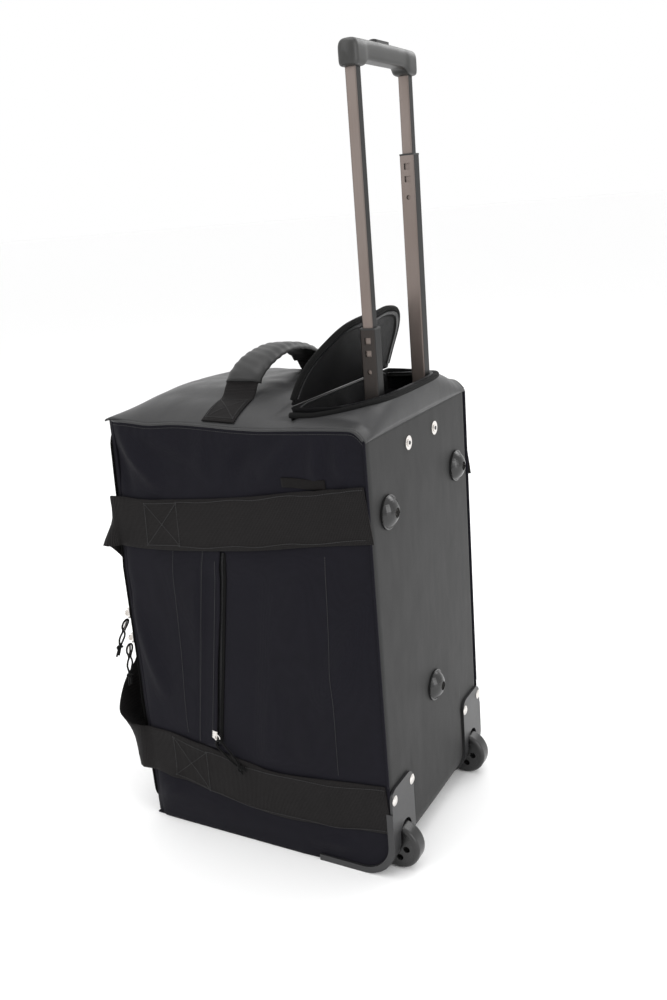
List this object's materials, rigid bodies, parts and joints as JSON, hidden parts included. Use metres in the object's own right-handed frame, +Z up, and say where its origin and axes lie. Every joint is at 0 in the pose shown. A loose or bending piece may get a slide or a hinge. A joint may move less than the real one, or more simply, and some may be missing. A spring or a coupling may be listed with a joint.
{
  "type": "rolling duffel bag",
  "caption": "Soft rolling duffel bag with a telescopic two-tube handle, recessed wheels, base feet, wide carry straps and a padded end grab handle.",
  "frame": {"origin": "middle of the lower end panel, on the surface that the bag stands on", "axes": "+Z up along the telescopic handle, +X out of the base panel with the wheels and feet, +Y to the bag's right seen from the base panel's back"},
  "size_m": [0.4647, 0.3382, 1.0215],
  "materials": {
    "side_fabric": "fine woven nylon, matt",
    "coated_fabric": "coated nylon, soft sheen",
    "lining_fabric": "thin woven lining",
    "sleeve_fabric": "padded coated nylon",
    "webbing": "ribbed polypropylene webbing",
    "zip_tape": "woven tape with nylon coil",
    "label": "plain woven label",
    "board_plastic": "stiff sheet",
    "anodised_tube": "brushed and anodised",
    "black_plastic": "moulded",
    "grip_plastic": "fine grained",
    "housing_plastic": "moulded, slight gloss",
    "foot_plastic": "moulded",
    "tyre": "solid polyurethane, satin",
    "hub_plastic": "moulded",
    "nickel": "nickel plated",
    "cord": "braided"
  },
  "bodies": {
    "bag": {"front_side_panel": "side_fabric", "rear_side_panel": "side_fabric", "opening_border": "side_fabric", "main_zip": "zip_tape", "lid_panel": "side_fabric", "base_cover": "coated_fabric", "base_board": "board_plastic", "lower_end_panel": "coated_fabric", "upper_end_panel": "coated_fabric", "compartment_lining": "lining_fabric", "compartment_zip": "zip_tape", "front_carry_strap": "webbing", "rear_carry_strap": "webbing", "grab_handle_webbing": "webbing", "grab_handle_sleeve": "sleeve_fabric", "pocket_zip": "zip_tape", "pocket_welt": "side_fabric", "blank_label": "label", "outer_sleeve_left": "anodised_tube", "outer_sleeve_right": "anodised_tube", "sleeve_bushes": "black_plastic", "sleeve_end_plugs": "black_plastic", "sleeve_clamps": "black_plastic", "wheel_housing_left": "housing_plastic", "wheel_housing_right": "housing_plastic", "axles": "nickel", "housing_rivets": "nickel", "base_feet": "foot_plastic", "foot_screws": "nickel", "clamp_rivets": "nickel"},
    "handle": {"inner_tube_left": "anodised_tube", "inner_tube_right": "anodised_tube", "grip_front_half": "grip_plastic", "grip_rear_half": "grip_plastic", "grip_screws": "nickel", "inner_plugs": "black_plastic", "lock_pins": "nickel", "button_springs": "nickel"},
    "button": {"release_button": "black_plastic", "release_bar": "black_plastic", "release_rods": "nickel"},
    "mid_stage_left": {"mid_tube_left": "anodised_tube", "mid_collar_left": "black_plastic"},
    "mid_stage_right": {"mid_tube_right": "anodised_tube", "mid_collar_right": "black_plastic"},
    "wheel_left": {"tyre_left": "tyre", "hub_left": "hub_plastic"},
    "wheel_right": {"tyre_right": "tyre", "hub_right": "hub_plastic"},
    "flap": {"compartment_flap": "coated_fabric", "flap_zip": "zip_tape"},
    "upper_zip_slider": {"upper_slider": "nickel", "upper_cord": "cord", "upper_knot": "cord"},
    "lower_zip_slider": {"lower_slider": "nickel", "lower_cord": "cord", "lower_knot": "cord"},
    "pocket_zip_slider": {"pocket_slider": "nickel", "pocket_cord": "cord", "pocket_knot": "cord"}
  },
  "joints": [
    {"name": "handle_slide", "type": "slide", "parent": "bag", "child": "handle", "axis": [0, 0, 1], "range_m": [-0.4, 0]},
    {"name": "mid_left_slide", "type": "slide", "parent": "bag", "child": "mid_stage_left", "axis": [0, 0, 1], "range_m": [-0.116, 0]},
    {"name": "mid_right_slide", "type": "slide", "parent": "bag", "child": "mid_stage_right", "axis": [0, 0, 1], "range_m": [-0.312, 0]},
    {"name": "button_press", "type": "slide", "parent": "handle", "child": "button", "axis": [0, 0, 1], "range_m": [-0.004, 0], "stiffness_N_per_m": 1500, "springref_m": 0.002, "deforming": ["button_springs"]},
    {"name": "wheel_left_spin", "type": "hinge", "parent": "bag", "child": "wheel_left", "pos_m": [0.19, -0.122, 0.032], "axis": [0, 1, 0], "continuous": true},
    {"name": "wheel_right_spin", "type": "hinge", "parent": "bag", "child": "wheel_right", "pos_m": [0.19, 0.122, 0.032], "axis": [0, 1, 0], "continuous": true},
    {"name": "flap_hinge", "type": "hinge", "parent": "bag", "child": "flap", "pos_m": [0.089, 0, 0.62], "axis": [0, 1, 0], "range_deg": [-74, 4]},
    {"name": "upper_slider_slide", "type": "slide", "parent": "bag", "child": "upper_zip_slider", "axis": [0, 0, 1], "range_m": [0, 0.07]},
    {"name": "lower_slider_slide", "type": "slide", "parent": "bag", "child": "lower_zip_slider", "axis": [0, 0, 1], "range_m": [-0.04, 0]},
    {"name": "pocket_slider_slide", "type": "slide", "parent": "bag", "child": "pocket_zip_slider", "axis": [0.1512, 0, 0.9885], "range_m": [0, 0.2]}
  ],
  "couplings": [
    {"joint": "mid_left_slide", "follows": "handle_slide", "ratio": 0.29},
    {"joint": "mid_right_slide", "follows": "handle_slide", "ratio": 0.78}
  ]
}
